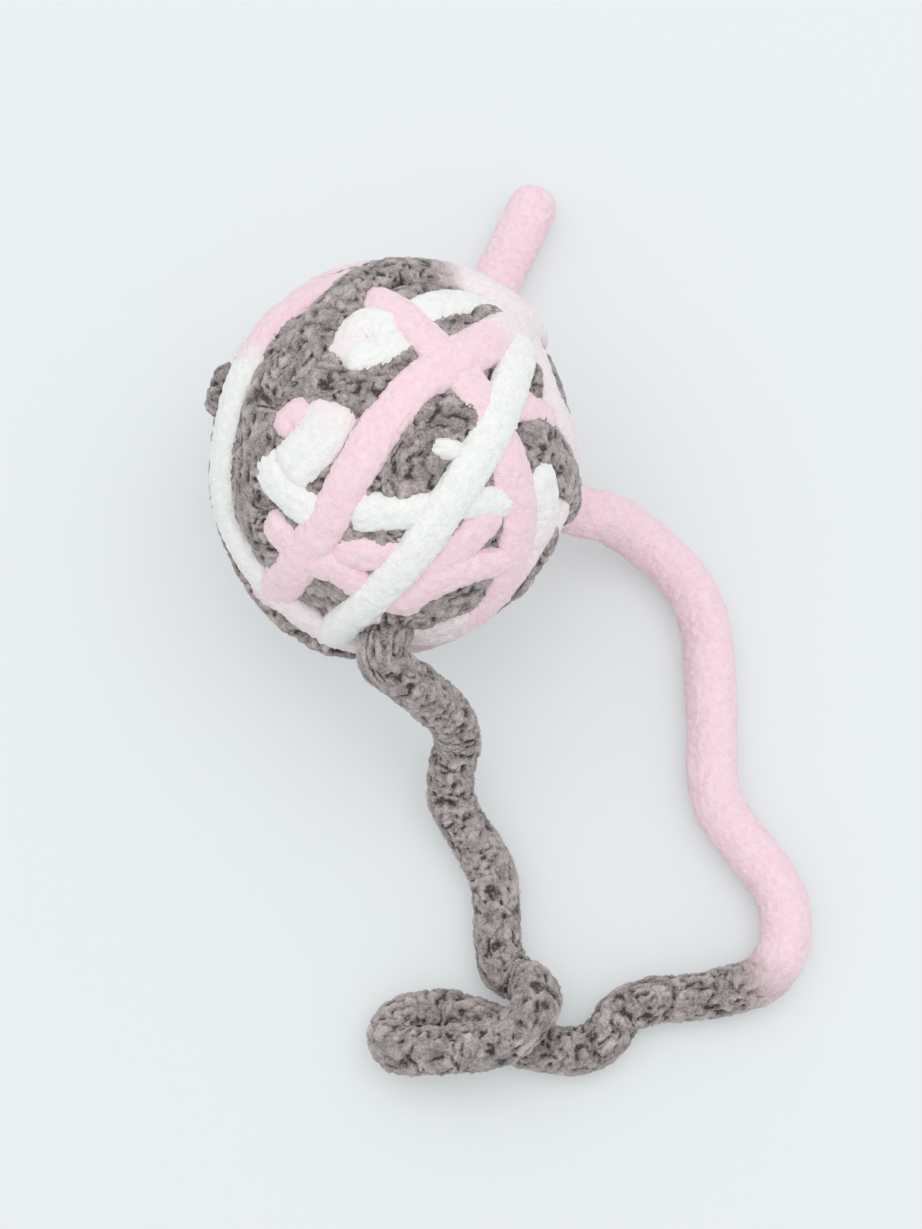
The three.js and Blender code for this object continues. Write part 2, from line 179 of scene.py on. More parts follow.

# Velvet and fuzz: their depths in mm, and the level and the rise of velvet from 0 to 1, which also
# set how much painted shade the dips of the velvet get.
VELVET_DEPTH = 0.15
FUZZ_DEPTH = 0.08
BROWN_FUZZ_DEPTH = 0.03
VELVET_LEVEL = 0.7
VELVET_RISE = 0.32

# The ways of the free yarn, point by point, and the places inside the ball that it comes from.
LOOP_ROOT = [(0.0168, -0.0027, 0.0145), (0.0195, -0.0031, 0.0141)]
LOOP_HEAD = [
    (-0.001, -0.0262, 0.0311), (-0.0004, -0.0243, 0.0297), (0.0006, -0.0226, 0.0277),
    (0.0018, -0.0212, 0.0256),
]
PINK_ROUTE = [
    (0.0223, -0.0036, 0.0129), (0.025, -0.0042, 0.0115), (0.028, -0.0044, 0.0096),
    (0.031, -0.0053, 0.0069), (0.0341, -0.0071, 0.0047), (0.0373, -0.0099, 0.0037),
    (0.04, -0.0134, 0.0035), (0.0417, -0.0184, 0.0035), (0.0422, -0.0251, 0.0035),
    (0.0424, -0.0318, 0.0035), (0.0423, -0.0378, 0.0035), (0.0433, -0.0428, 0.0035),
    (0.046, -0.047, 0.0035), (0.0487, -0.0506, 0.0035), (0.0511, -0.0544, 0.0035),
    (0.0517, -0.0582, 0.0035), (0.051, -0.0621, 0.0035),
]
CHANGE_ROUTE = [(0.0485, -0.0654, 0.0034)]
LOW_ROUTE = [
    (0.0435, -0.0671, 0.0031), (0.0386, -0.068, 0.0031), (0.0339, -0.0683, 0.0031),
    (0.0302, -0.0698, 0.0031), (0.0278, -0.073, 0.0031), (0.0248, -0.0748, 0.0031),
]
TANGLE_ROUTE = [
    (0.0221, -0.0748, 0.0031), (0.0194, -0.0746, 0.0031), (0.0168, -0.0739, 0.0031),
    (0.0143, -0.0727, 0.0031), (0.0115, -0.0713, 0.0031), (0.0084, -0.0702, 0.0031),
    (0.005, -0.07, 0.0031), (0.0019, -0.0706, 0.0031), (0.0001, -0.0719, 0.0034),
    (-0.0003, -0.0738, 0.0044), (0.0013, -0.0751, 0.0059), (0.0048, -0.0751, 0.0073),
    (0.0084, -0.0749, 0.0079), (0.0116, -0.0747, 0.009), (0.0143, -0.074, 0.0098),
    (0.0165, -0.0724, 0.0099), (0.0181, -0.0703, 0.009), (0.0188, -0.0683, 0.0072),
    (0.018, -0.0666, 0.0051), (0.0163, -0.0655, 0.0036), (0.0147, -0.0643, 0.0031),
]
RISE_ROUTE = [
    (0.0138, -0.0617, 0.0031), (0.0136, -0.0586, 0.0031), (0.0134, -0.0549, 0.0031),
    (0.0128, -0.0513, 0.0032), (0.011, -0.048, 0.0035), (0.0091, -0.045, 0.0043),
    (0.0075, -0.0418, 0.0056), (0.0076, -0.0385, 0.0074), (0.0083, -0.0354, 0.0102),
    (0.0077, -0.033, 0.0142), (0.0057, -0.0318, 0.0196), (0.0037, -0.031, 0.0252),
    (0.0012, -0.0299, 0.029), (-0.001, -0.0282, 0.0312),
]
END_ROUTE = [
    (-0.0134, 0.0159, 0.0035), (-0.0078, 0.0193, 0.0035), (-0.0015, 0.0209, 0.0035),
    (0.0044, 0.0213, 0.0035), (0.0094, 0.0242, 0.0035), (0.0126, 0.0286, 0.0035),
    (0.015, 0.0332, 0.0035), (0.0173, 0.038, 0.0035), (0.0199, 0.044, 0.0035),
]

# How brown and how white each dye is. Pink is neither, and a turn counts as white from a share
# just above that of the blush between the two.
DYES = {"pink": (0, 0), "blush": (0, 0.6), "white": (0, 1), "brown": (1, 0)}
BROWN_ENOUGH = 0.5
WHITE_ENOUGH = 0.65

# Each turn that shows: its dyes, its crown's radius and its width in mm, the places it passes in
# view, and the degrees that it runs on before and after them, sinking under other turns. Between
# two dyes stands the count of the place where the first changes to the second. Where there are
# several radii or widths, they follow one another evenly over the places.
TURNS = {
    "white_top": (("white",), 26.0, (5.2, 5.4, 4.9, 4.7), [
        (0.7, 0.56), (0.625, 0.31), (0.54, 0.11), (0.415, -0.09), (0.285, -0.28), (0.155, -0.46),
        (0.02, -0.615), (-0.125, -0.75), (-0.235, -0.85),
    ], 10, 120),
    "pink_top": (("blush", 0.6, "pink"), 25.75, (6.2, 5.4, 5.4, 5.6), [
        (0.66, 0.665), (0.49, 0.58), (0.235, 0.445), (0.065, 0.305), (-0.09, 0.125), (-0.22, -0.085),
        (-0.335, -0.29), (-0.475, -0.495), (-0.615, -0.665),
    ], 100, 150),
    "outline_left": (
        ("pink", 8.6, "white", 18.4, "blush"), (24.6, 25.2, 25.6, 25.8, 25.8), (6.6, 7.2, 6.0, 6.2), [
            (0.6, 1.1), (0.33, 1.06), (0.1, 1.02), (-0.1, 0.965), (-0.295, 0.905), (-0.435, 0.855),
            (-0.56, 0.785), (-0.665, 0.7), (-0.755, 0.59), (-0.825, 0.465), (-0.875, 0.335),
            (-0.91, 0.2), (-0.935, 0.07), (-0.945, -0.08), (-0.935, -0.22), (-0.91, -0.33),
            (-0.865, -0.43), (-0.8, -0.54), (-0.71, -0.65), (-0.61, -0.745), (-0.5, -0.83),
            (-0.38, -0.905),
        ], 60, 100,
    ),
    "brown_left": (("blush", 2.6, "brown"), (26.4, 25.4), 6.6, [
        (0.68, 0.735), (0.53, 0.83), (0.37, 0.905), (0.2, 0.94), (0.02, 0.95), (-0.13, 0.915),
        (-0.26, 0.825), (-0.37, 0.72), (-0.44, 0.605), (-0.53, 0.49), (-0.65, 0.39), (-0.72, 0.27),
        (-0.74, 0.13), (-0.77, -0.02), (-0.79, -0.18), (-0.765, -0.34), (-0.69, -0.48),
        (-0.6, -0.58),
    ], 100, 20),
    "brown_branch": (("brown",), 25.1, 5.8, [
        (-0.64, 0.4), (-0.48, 0.385), (-0.33, 0.37), (-0.19, 0.34), (-0.05, 0.31),
    ], 20, 40),
    "white_high": (("blush", 1, "white"), 25.0, 5.8, [
        (-0.265, 0.56), (-0.225, 0.665), (-0.12, 0.71), (0.0, 0.69),
    ], 5, 20),
    "white_near": (("white",), 25.05, 4.8, [(-0.215, 0.52), (-0.1, 0.55), (0.01, 0.605)], 6, 8),
    # Its blush lower end is painted light: the paler dye lightens the ball's shaded lower edge.
    "pink_arc": (("pink", 15.5, "blush"), 25.3, (4.8, 6.0, 6.2, 4.4), [
        (-0.1, 0.825), (-0.01, 0.785), (0.085, 0.71), (0.175, 0.63), (0.32, 0.49), (0.43, 0.375),
        (0.52, 0.235), (0.59, 0.1), (0.645, -0.01), (0.68, -0.12), (0.715, -0.25), (0.715, -0.38),
        (0.685, -0.51), (0.63, -0.635), (0.57, -0.745), (0.47, -0.84), (0.33, -0.915), (0.15, -0.955),
    ], 9, 110),
    "white_arc": (("white",), 25.0, 5.8, [
        (0.17, 0.765), (0.26, 0.8), (0.37, 0.81), (0.48, 0.79), (0.59, 0.745),
    ], 10, 8),
    "brown_right": (("brown",), (25.2, 26.0), (7.2, 6.0), [
        (0.79, 0.16), (0.85, 0.08), (0.91, 0.0), (0.955, -0.08), (0.975, -0.17), (0.975, -0.25),
    ], 5, 12),
    "pink_right": (("blush",), 25.1, 6.6, [
        (0.73, 0.66), (0.8, 0.53), (0.85, 0.4), (0.895, 0.28), (0.95, 0.17), (1.0, 0.05),
    ], 60, 100),
    "pink_wedge": (("pink",), 25.05, 4.8, [(0.7, 0.27), (0.78, 0.255), (0.86, 0.2)], 10, 10),
    "white_right": (("white", 2, "blush"), 25.45, 6.2, [
        (0.82, -0.11), (0.845, -0.19), (0.85, -0.3), (0.82, -0.42),
    ], 8, 12),
    "white_level": (("white",), 25.1, (5.4, 4.5, 4.5), [
        (-0.175, -0.3), (0.0, -0.3), (0.2, -0.28), (0.4, -0.25), (0.63, -0.235),
    ], 6, 6),
    "white_slant": (("blush", 0.4, "white"), 25.5, 6.6, [
        (-0.35, 0.215), (-0.425, 0.09), (-0.56, -0.055),
    ], 8, 4),
    "white_corner": (("white",), 25.45, 5.0, [
        (-0.7, -0.04), (-0.655, -0.13), (-0.57, -0.215), (-0.47, -0.285),
    ], 5, 14),
    "pink_fleck": (("pink",), 25.35, 4.2, [(-0.6, 0.155), (-0.57, 0.2), (-0.51, 0.225)], 5, 8),
    "pink_low_left": (("pink",), 25.55, 4.8, [
        (-0.645, -0.385), (-0.59, -0.435), (-0.52, -0.49),
    ], 5, 20),
    "pink_low": (("pink",), 24.9, 5.0, [(-0.27, -0.51), (-0.12, -0.525), (0.04, -0.515)], 12, 14),
    "pink_lower": (("pink",), 25.05, 4.8, [(-0.38, -0.55), (-0.27, -0.635), (-0.16, -0.7)], 14, 30),
    "pink_inside": (("pink",), 25.0, 5.2, [
        (0.54, -0.33), (0.43, -0.435), (0.29, -0.555), (0.15, -0.665),
    ], 8, 20),
    "pink_outside": (("pink",), 25.3, (4.4, 5.6), [
        (0.62, -0.555), (0.5, -0.58), (0.38, -0.61), (0.25, -0.66), (0.13, -0.72), (0.03, -0.765),
    ], 12, 8),
    "pink_low_right": (("blush", 2, "pink"), 25.2, 6.2, [
        (0.94, -0.28), (0.85, -0.43), (0.745, -0.575), (0.625, -0.705), (0.49, -0.82),
    ], 20, 60),
    # Its blush is painted light: the paler dye lightens the ball's shaded lower edge.
    "pink_edge": (("blush",), 25.05, 5.2, [
        (0.0, -0.95), (0.12, -0.945), (0.26, -0.915), (0.38, -0.865),
    ], 40, 20),
    "brown_exit": (("brown",), 25.15, 3.8, [
        (-0.06, -0.865), (0.07, -0.845), (0.19, -0.835), (0.31, -0.81), (0.42, -0.765),
    ], 8, 8),
    "brown_patch": (("brown",), 24.95, 5.4, [
        (0.2, -0.77), (0.31, -0.745), (0.42, -0.7), (0.5, -0.64),
    ], 6, 6),
    "brown_rim": (("brown",), 25.9, 2.6, [
        (0.855, -0.41), (0.79, -0.525), (0.73, -0.61), (0.67, -0.685),
    ], 5, 5),
    "brown_skirt": (("brown",), (24.6, 25.2, 25.8, 26.7, 27.0, 25.0), 3.4, [
        (-1.12, 0.12), (-1.05, -0.06), (-0.985, -0.22), (-0.945, -0.34), (-0.9, -0.44),
        (-0.835, -0.55), (-0.755, -0.655), (-0.66, -0.75), (-0.565, -0.825), (-0.465, -0.885),
        (-0.365, -0.93), (-0.27, -0.96), (-0.14, -1.02), (0.05, -1.12),
    ], 20, 40),
    "brown_notch": (("brown",), 26.2, 3.0, [(-0.91, 0.41), (-0.945, 0.33), (-0.96, 0.25)], 5, 5),
    "brown_speck": (("brown",), 25.3, 2.4, [(0.46, 0.735), (0.51, 0.755), (0.56, 0.745)], 5, 5),
    "brown_fleck": (("brown",), 25.5, 2.2, [(0.775, 0.44), (0.782, 0.39), (0.785, 0.34)], 4, 4),
    "white_dot": (("white",), 25.4, 2.6, [(0.285, 0.045), (0.31, 0.042), (0.335, 0.038)], 3, 3),
}

# The turns of the far side: each one's dyes, its crown's radius and its width in mm, and the lean of
# its pole from the middle of that side, the way that it leans in view and the angle of the turn from
# the pole, in degrees.
FAR_TURNS = [
    (("pink",), 25.35, 6.4, 12, 100, 68),
    (("white", 0.4, "pink"), 25.5, 6.2, 24, 150, 57),
    (("pink", 0.5, "white"), 25.65, 6.4, 20, 30, 49),
    (("white",), 25.8, 6.2, 28, 230, 52),
    (("brown",), 25.2, 6.4, 22, 265, 53),
    (("pink",), 25.05, 6.6, 34, 80, 44),
    (("white", 0.5, "brown"), 24.9, 6.2, 38, 200, 40),
    (("pink", 0.6, "white"), 25.2, 6.4, 32, 320, 46),
    (("brown",), 25.35, 6.2, 45, 10, 30),
]

# The colours of the yarn: each on top of its pile and with painted shade deep in it, and for brown
# also where its tone is greyer, and the colours of the hidden parts.
PINK = (0.94, 0.735, 0.79, 1)
PINK_SHADED = (0.93, 0.63, 0.71, 1)
WHITE = (0.93, 0.935, 0.915, 1)
WHITE_SHADED = (0.83, 0.845, 0.82, 1)
BROWN = (0.6, 0.52, 0.5, 1)
BROWN_GREY = (0.4, 0.36, 0.35, 1)
BROWN_CREASE_SHADE = (0.06, 0.046, 0.044, 1)
PLASTIC_DARK = (0.76, 0.74, 0.67, 1)
PLASTIC_LIGHT = (0.82, 0.81, 0.76, 1)
BRASS_BRIGHT = (0.83, 0.6, 0.24, 1)
BRASS_DULL = (0.62, 0.4, 0.14, 1)
STEEL_DARK = (0.5, 0.51, 0.53, 1)
STEEL_LIGHT = (0.62, 0.63, 0.64, 1)

# The stage: the floor's half width, its colour, the colour that it glows in and the share of that
# in what is seen, the light from all around, and the place and the power of each lamp.
FLOOR_REACH = 3
FLOOR_COLOUR = (0.76, 0.8, 0.81, 1)
GLOW_COLOUR = (0.87, 0.9, 0.905, 1)
GLOW_SHARE = 0.3
BACKDROP_COLOUR = (0.98, 0.99, 1, 1)
BACKDROP_STRENGTH = 0.85
LAMP_SIZE = 0.6
LAMPS = {"lamp_left": ((-0.3, 0.15, 0.7), 0.6), "lamp_right": ((0.2, 0.1, 0.8), 1.4)}


def add_camera():
    data = bpy.data.cameras.new("camera")
    data.lens = CAMERA_LENS
    data.sensor_width = CAMERA_SENSOR
    data.clip_start = CAMERA_NEAREST
    camera = bpy.data.objects.new("camera", data)
    camera.location = CAMERA_PLACE
    camera.rotation_euler = (CAMERA_LEAN, 0, 0)
    bpy.context.scene.collection.objects.link(camera)
    bpy.context.scene.camera = camera


# Repeatable noise

AXIS_FACTORS = (73856093, 19349663, 83492791)
SEED_FACTOR = 668265263
STIR_FACTORS = (2246822519, 3266489917)
STIR_SHIFTS = (15, 13)
LAST_SHIFT = 16
LOW_BITS = 0xFFFFFFFF


def cell_number(cells, seed):
    """A repeatable number from 0 to 1 for each whole-number place."""
    x, y, z = (cells[..., axis] * factor for axis, factor in enumerate(AXIS_FACTORS))
    mixed = (x ^ y ^ z ^ seed * SEED_FACTOR) & LOW_BITS
    for shift, factor in zip(STIR_SHIFTS, STIR_FACTORS):
        mixed = (mixed ^ mixed >> shift) * factor & LOW_BITS
    return (mixed ^ mixed >> LAST_SHIFT) / LOW_BITS


def soft_noise(places, seed):
    """Smooth noise from -1 to 1 with lumps one unit across."""
    cells = np.floor(places).astype(np.int64)
    shares = smooth_step(places - cells, 0, 1)
    total = 0
    for corner in np.ndindex(2, 2, 2):
        weights = np.where(corner, shares, 1 - shares).prod(axis=-1)
        total = total + weights * cell_number(cells + np.array(corner), seed)
    return 2 * total - 1


def smooth_step(values, start, stop):
    """0 up to the start, 1 from the stop on, and a smooth slope between them."""
    shares = np.clip((values - start) / (stop - start), 0, 1)
    return shares * shares * (3 - 2 * shares)


def tufts(places, seed):
    """Tufts one unit across: 1 on each of them and 0 in the creases between them."""
    cells = np.floor(places).astype(np.int64)
    nearest = np.full(len(places), np.inf)
    second = nearest.copy()
    for corner in np.ndindex(3, 3, 3):
        cell = cells + np.array(corner) - 1
        tip = np.stack([cell_number(cell, seed + axis) for axis in range(3)], axis=-1)
        distance = np.linalg.norm(cell + tip - places, axis=-1)
        second = np.minimum(second, np.maximum(nearest, distance))
        nearest = np.minimum(nearest, distance)
    return smooth_step(second - nearest, 0, CREASE_END)


def pattern(name, spots, seed):
    """One of the patterns on the pile, from -1 to 1, at spots in mm."""
    size, shift, own_seed = PATTERNS[name]
    return soft_noise(spots / size + shift, seed + own_seed)


def curly_pile(spots, seed):
    """The height of brown pile, 0 in the holes to 1 on the curls, and its tone."""
    bend = np.stack([
        soft_noise(spots / BEND_SIZE + shift, seed + shift) for shift in BEND_SHIFTS
    ], axis=-1)
    curls = tufts(spots / CURL + CURL_BEND_SHARE * bend, seed)
    bent = spots + THREAD_BEND * bend
    lie = smooth_step(pattern("lie", spots, seed), *LIE_TURNS)
    along = pattern("threads along", bent, seed)
    across = pattern("threads across", bent, seed)
    threads = lie * along + (1 - lie) * across + HAIR_SHARE * pattern("hairs", bent, seed)
    holes = smooth_step(-threads, *HOLE_OPENS)
    height = PILE_LEVEL + THREAD_RISE * threads - HOLE_DEPTH * holes - CREASE_DEPTH * (1 - curls)
    tone = 0.5 + 0.5 * pattern("tone", spots, seed)
    return np.clip(height, 0, 1), tone


# Ways and frames

def smooth_way(points):
    """A smooth curve through the points in fine steps, and how far along it each point is."""
    points = np.array(points)
    held = np.vstack([2 * points[0] - points[1], points, 2 * points[-1] - points[-2]])
    shares = np.linspace(0, 1, CURVE_STEPS, endpoint=False)[:, None]
    way = []
    for first, start, stop, last in zip(held, held[1:], held[2:], held[3:]):
        before, along, after = (
            np.linalg.norm(b - a) ** 0.5
            for a, b in ((first, start), (start, stop), (stop, last))
        )
        run = (stop - start) / along
        leave = ((start - first) / before - (stop - first) / (before + along) + run) * along
        arrive = (run - (last - start) / (along + after) + (last - stop) / after) * along
        way.append(
            (2 * shares**3 - 3 * shares**2 + 1) * start
            + (shares**3 - 2 * shares**2 + shares) * leave
            + (3 * shares**2 - 2 * shares**3) * stop
            + (shares**3 - shares**2) * arrive
        )
    way = np.vstack(way + [points[-1]])
    return way, run_lengths(way)[::CURVE_STEPS]


def run_lengths(way):
    """How far along a way each of its points is."""
    return np.concatenate([[0], np.cumsum(np.linalg.norm(np.diff(way, axis=0), axis=1))])


def at_lengths(way, lengths, wanted):
    return np.stack([np.interp(wanted, lengths, axis) for axis in way.T], axis=-1)


def unit(vectors):
    return vectors / np.linalg.norm(vectors, axis=-1, keepdims=True)


def row_places(length, cap, step):
    """Places along a strand: even steps, and finer ones over its rounded ends."""
    turns = np.linspace(0, math.pi / 2, max(FEWEST_CAP_ROWS, round(cap / step)), endpoint=False)
    start = cap * (1 - np.cos(turns))
    middle = np.linspace(cap, length - cap, max(2, round((length - 2 * cap) / step)))
    return np.concatenate([start, middle, length - start[::-1]])


def carried_up(along):
    """The upright direction carried down a way without twisting."""
    ups = []
    up = np.array([0, 0, 1])
    for direction in along:
        up = unit(up - direction * (up @ direction))
        ups.append(up)
    return np.array(ups)


# Strands

def set_shape(mesh, places, values):
    """Puts each vertex in its place and gives it its values, and shades the faces smoothly."""
    mesh.vertices.foreach_set("co", places.ravel())
    for value_name, numbers in values.items():
        layer = mesh.attributes.new(value_name, "FLOAT", "POINT")
        layer.data.foreach_set("value", numbers)
    mesh.polygons.foreach_set("use_smooth", np.ones(len(mesh.polygons), bool))


def read_places(mesh):
    places = np.empty(len(mesh.vertices) * 3)
    mesh.vertices.foreach_get("co", places)
    return places.reshape(-1, 3)


def add_piece(name, mesh):
    piece = bpy.data.objects.new(name, mesh)
    bpy.context.scene.collection.objects.link(piece)
    return piece


def rolled_strand(name, rows, sides, shape):
    """A closed tube: a flat grid whose corners shape() puts in place, with its seam welded."""
    flat = bmesh.new()
    flat.loops.layers.uv.new("strand")
    bmesh.ops.create_grid(flat, x_segments=rows, y_segments=sides, size=1, calc_uvs=True)
    mesh = bpy.data.meshes.new(name)
    flat.to_mesh(mesh)
    flat.free()
    corners = read_places(mesh)
    row = np.rint((corners[:, 0] + 1) / 2 * rows).astype(int)
    column = np.rint((corners[:, 1] + 1) / 2 * sides).astype(int)
    set_shape(mesh, *shape(row, column))
    tube = bmesh.new()
    tube.from_mesh(mesh)
    bmesh.ops.remove_doubles(tube, verts=tube.verts, dist=WELD_DISTANCE)
    bmesh.ops.recalc_face_normals(tube, faces=tube.faces)
    tube.to_mesh(mesh)
    tube.free()
    return add_piece(name, mesh)


def add_strand(
    name, way, up, width, height, brown, white, step, sides, form, seed, resting=RESTING_HEIGHT,
):
    """A chenille strand along a way, with curly pile where it is brown and velvet elsewhere.

    up, width, height, brown and white are given for each point of the way.
    """
    lengths = run_lengths(way)
    cap = 0.5 * float(width.mean())
    places = row_places(lengths[-1], cap, step)
    centre = at_lengths(way, lengths, places)
    along = unit(np.gradient(centre, places, axis=0))
    upright = at_lengths(up, lengths, places)
    upright = unit(upright - along * np.sum(upright * along, axis=1, keepdims=True))
    sideways = np.cross(along, upright)
    from_end = np.minimum(places, lengths[-1] - places)
    roundness = np.sqrt(np.clip(1 - (1 - np.minimum(from_end / cap, 1)) ** 2, 0, 1))
    leaning = np.where(places < lengths[-1] / 2, -1, 1) * np.sqrt(1 - roundness**2)
    half_width = np.interp(places, lengths, width) / 2
    half_height = np.interp(places, lengths, height) / 2
    brownness = np.interp(places, lengths, brown)
    whiteness = np.interp(places, lengths, white)
    upper = round(sides * form["crown_share"])
    turn = math.pi * np.concatenate([
        np.linspace(0, 1, upper, endpoint=False), np.linspace(1, 2, sides - upper + 1),
    ])

    def shape(row, column):
        angle = turn[column]
        scale = roundness[row]
        power = 2 / form["fullness"]
        x = half_width[row] * scale * np.sign(np.cos(angle)) * np.abs(np.cos(angle)) ** power
        y = half_height[row] * scale * np.sign(np.sin(angle)) * np.abs(np.sin(angle)) ** power
        outward = unit(
            sideways[row] * (np.cos(angle) * scale)[:, None]
            + upright[row] * (np.sin(angle) * scale)[:, None]
            + along[row] * leaning[row][:, None]
        )
        sag = x * x / (2 * form["bent_over"]) if form["bent_over"] else 0
        surface = centre[row] + sideways[row] * x[:, None] + upright[row] * (y - sag)[:, None]
        spots = np.stack([places[row], x, y], axis=-1) / MM
        brownish = brownness[row]
        if brown.any():
            curls, tone = curly_pile(spots, seed)
        else:
            curls = tone = np.zeros(len(spots))
        velvet = pattern("velvet", spots, seed)
        brown_pile = form["tuft_depth"] * (curls - SURFACE_HEIGHT)
        pile = brownish * brown_pile + (1 - brownish) * VELVET_DEPTH * velvet
        pile = pile + form["lump_depth"] * pattern("lumps", spots, seed)
        pile = pile + (FUZZ_DEPTH + BROWN_FUZZ_DEPTH * brownish) * pattern("fuzz", spots, seed)
        placed = surface + outward * (pile * MM)[:, None]
        placed[:, 2] = np.maximum(placed[:, 2], resting)
        # Painted shade: the pile value darkens the colour where the brown pile is low and in the dips
        # of the velvet.
        pile_shade = brownish * curls + (1 - brownish) * (VELVET_LEVEL + VELVET_RISE * velvet)
        return placed, {"brown": brownish, "white": whiteness[row], "pile": pile_shade, "tone": tone}

    return rolled_strand(name, len(places) - 1, sides, shape)


def add_free_yarn(name, way, diameters, brown, step, sides, seed):
    """A free strand along a way, and the path along its middle."""
    lengths = run_lengths(way)
    up = carried_up(unit(np.gradient(way, axis=0)))
    white = np.zeros(len(way))
    strand = add_strand(
        name, way, up, diameters, diameters, brown, white, step, sides, FREE_FORM, seed,
    )
    spaced = at_lengths(way, lengths, np.linspace(0, lengths[-1], round(lengths[-1] / PATH_STEP)))
    return strand, [tuple(place) for place in spaced]


# Materials

MIX_SHARE = 0
MIX_FIRST = 6
MIX_SECOND = 7
MIX_RESULT = 2


class Link:
    """One output of a node. Sums on it add Math nodes."""

    def __init__(self, finish, socket):
        self.finish = finish
        self.socket = socket

    def maths(self, operation, first, second):
        return self.finish.node("ShaderNodeMath", {"operation": operation}, {0: first, 1: second})

    def __add__(self, other):
        return self.maths("ADD", self, other)

    def __mul__(self, other):
        return self.maths("MULTIPLY", self, other)

    __radd__ = __add__
    __rmul__ = __mul__


class Finish:
    """A material that is built up node by node round one shader."""

    def __init__(self, name, **constants):
        self.material = bpy.data.materials.new(name)
        self.material.use_nodes = True
        self.tree = self.material.node_tree
        self.shader = next(n for n in self.tree.nodes if n.type == "BSDF_PRINCIPLED")
        for socket, value in constants.items():
            self.shader.inputs[socket.replace("_", " ").title()].default_value = value

    def node(self, kind, settings, inputs, output=0):
        made = self.tree.nodes.new(kind)
        for setting, value in settings.items():
            if setting == "stops":
                for stop, (place, colour) in zip(made.color_ramp.elements, value):
                    stop.position = place
                    stop.color = colour
            else:
                setattr(made, setting, value)
        for name, value in inputs.items():
            self.feed(made.inputs[name], value)
        return Link(self, made.outputs[output])

    def feed(self, socket, value):
        if isinstance(value, Link):
            self.tree.links.new(value.socket, socket)
        else:
            socket.default_value = value

    def attribute(self, name):
        return self.node("ShaderNodeAttribute", {"attribute_name": name}, {}, "Fac")

    def noise(self, scale, detail):
        places = self.node("ShaderNodeTexCoord", {}, {}, "Object")
        return self.node("ShaderNodeTexNoise", {}, {"Vector": places, "Scale": scale, "Detail": detail})

    def mix(self, share, first, second, blend="MIX"):
        settings = {"data_type": "RGBA", "blend_type": blend}
        inputs = {MIX_SHARE: share, MIX_FIRST: first, MIX_SECOND: second}
        return self.node("ShaderNodeMix", settings, inputs, MIX_RESULT)

    def bump(self, height, strength, distance):
        inputs = {"Height": height, "Strength": strength, "Distance": distance}
        return self.node("ShaderNodeBump", {}, inputs)

    def surface(self, **inputs):
        for name, value in inputs.items():
            self.feed(self.shader.inputs[name.replace("_", " ").title()], value)
        return self.material


def chenille():
    """Soft velvety pile, dyed pink, taupe brown and white by turns, with painted shade deep in the
    pile.
    """
    finish = Finish("chenille_yarn", roughness=0.95, sheen_weight=0.4, sheen_roughness=0.5)
    finish.shader.inputs["Specular IOR Level"].default_value = 0.1
    fibres = finish.noise(scale=3200, detail=4)
    strong_fibres = finish.node("ShaderNodeMapRange", {}, {
        "Value": fibres, "From Min": 0.35, "From Max": 0.65, "To Min": -0.22, "To Max": 0.22,
    })
    # Painted shade: where the pile value is low, each dye turns to its shaded colour.
    pile = finish.node("ShaderNodeMapRange", {}, {
        "Value": finish.attribute("pile"), "From Min": 0.2, "From Max": 0.95,
    })
    pink = finish.mix(pile, PINK_SHADED, PINK)
    white = finish.mix(pile, WHITE_SHADED, WHITE)
    curl = finish.mix(finish.attribute("tone"), BROWN_GREY, BROWN)
    # Painted shade in the brown creases, with the fibres' noise breaking it up.
    brown = finish.mix(pile + strong_fibres, BROWN_CREASE_SHADE, curl)
    pale = finish.mix(finish.attribute("white"), pink, white)
    dyed = finish.mix(finish.attribute("brown"), pale, brown)
    stops = [(0.3, (0, 0, 0, 1)), (0.7, (1, 1, 1, 1))]
    flecks = finish.node("ShaderNodeValToRGB", {"stops": stops}, {0: finish.noise(scale=900, detail=3)})
    return finish.surface(
        base_color=finish.mix(0.1, dyed, flecks, "OVERLAY"),
        normal=finish.bump(fibres, strength=0.7, distance=0.0003),
    )


def moulded_plastic():
    """Off-white moulded plastic with faint flow marks."""
    finish = Finish("core_plastic")
    flow = finish.noise(scale=160, detail=4)
    grain = finish.noise(scale=2400, detail=2)
    return finish.surface(
        base_color=finish.mix(flow, PLASTIC_DARK, PLASTIC_LIGHT),
        roughness=0.38 + 0.2 * flow,
        normal=finish.bump(grain, strength=0.15, distance=0.0001),
    )


def stamped_brass():
    """Bright stamped brass with dull patches where it has been handled."""
    finish = Finish("bell_brass", metallic=1.0)
    dullness = finish.noise(scale=240, detail=5)
    drawn = finish.noise(scale=1800, detail=2)
    return finish.surface(
        base_color=finish.mix(dullness, BRASS_BRIGHT, BRASS_DULL),
        roughness=0.16 + 0.3 * dullness,
        normal=finish.bump(drawn, strength=0.1, distance=0.0001),
    )


def tumbled_steel():
    """Grey tumbled steel with small dents."""
    finish = Finish("pellet_steel", metallic=1.0)
    dents = finish.noise(scale=900, detail=3)
    return finish.surface(
        base_color=finish.mix(dents, STEEL_DARK, STEEL_LIGHT),
        roughness=0.25 + 0.2 * dents,
        normal=finish.bump(dents, strength=0.3, distance=0.0001),
    )


def finish_piece(piece, material, slot=None):
    """Gives a piece its material, and a new piece its body as well."""
    piece.data.materials.clear()
    piece.data.materials.append(material)
    if slot:
        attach(piece, "root")


# Free yarn

